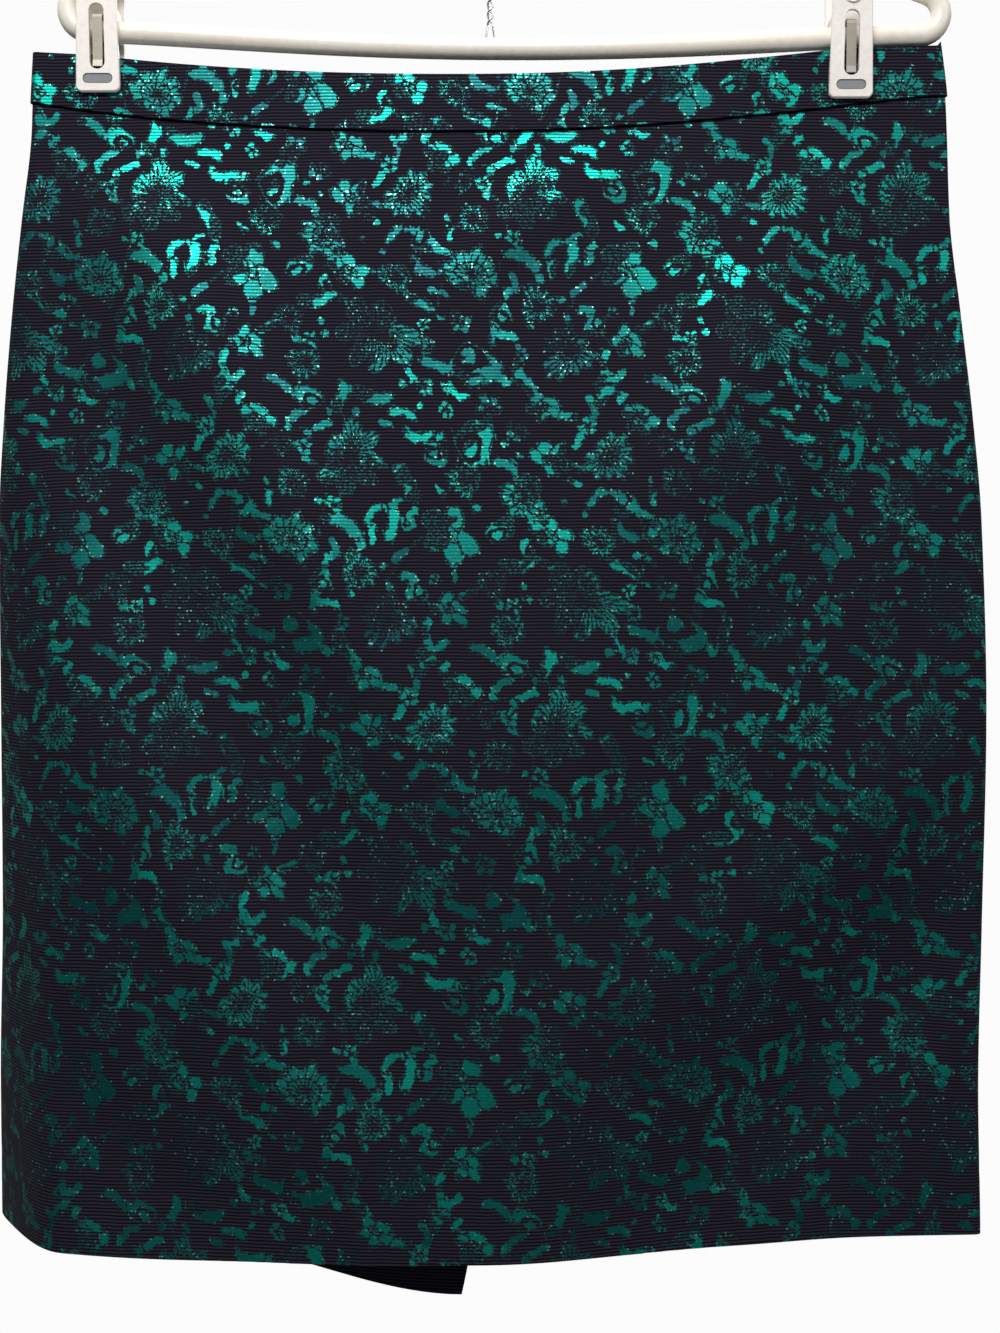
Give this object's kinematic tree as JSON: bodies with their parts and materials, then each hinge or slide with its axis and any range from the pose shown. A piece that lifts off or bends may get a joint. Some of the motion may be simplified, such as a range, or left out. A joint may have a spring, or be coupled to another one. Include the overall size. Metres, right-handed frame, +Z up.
{
  "type": "pencil skirt on a clip hanger",
  "caption": "Knee-length pencil skirt of dark ribbed cloth with teal flower motifs, held at its waistband by the pinch clips of a cream tube hanger.",
  "frame": {"origin": "inner top of the hanger's hook, where it hangs on a rail", "axes": "+Z up, +X to the right of someone facing the skirt, and the skirt's front faces -Y"},
  "size_m": [0.4789, 0.1111, 0.8079],
  "materials": {
    "brocade": "dark ribbed weave with teal metallic flower motifs",
    "zip_metal": "dark enamel",
    "cream_coating": "satin coating",
    "cream_plastic": "satin, moulded",
    "chrome": "polished",
    "grey_rubber": "matt",
    "spring_steel": "bright"
  },
  "bodies": {
    "skirt_on_hanger": {"front_panel": "brocade", "back_panel_left": "brocade", "back_panel_right": "brocade", "waistband_front": "brocade", "waistband_back_left": "brocade", "waistband_back_right": "brocade", "zip_slider": "zip_metal", "hanger_tube": "cream_coating", "hook_collar": "cream_plastic", "hook_wire": "chrome", "stay_wire_a": "chrome", "stay_wire_b": "chrome", "clip_front_jaw_left": "cream_plastic", "clip_front_jaw_right": "cream_plastic", "clip_rear_jaw_left": "cream_plastic", "clip_rear_jaw_right": "cream_plastic", "clip_front_pad_left": "grey_rubber", "clip_front_pad_right": "grey_rubber", "clip_rear_pad_left": "grey_rubber", "clip_rear_pad_right": "grey_rubber", "clip_spring_left": "spring_steel", "clip_spring_right": "spring_steel"},
    "pull_tab": {"zip_tab": "zip_metal"}
  },
  "joints": [
    {"name": "tab_lift", "type": "hinge", "parent": "skirt_on_hanger", "child": "pull_tab", "pos_m": [0, 0.01859, -0.24401], "axis": [1, 0, 0], "range_deg": [0, 100]}
  ]
}
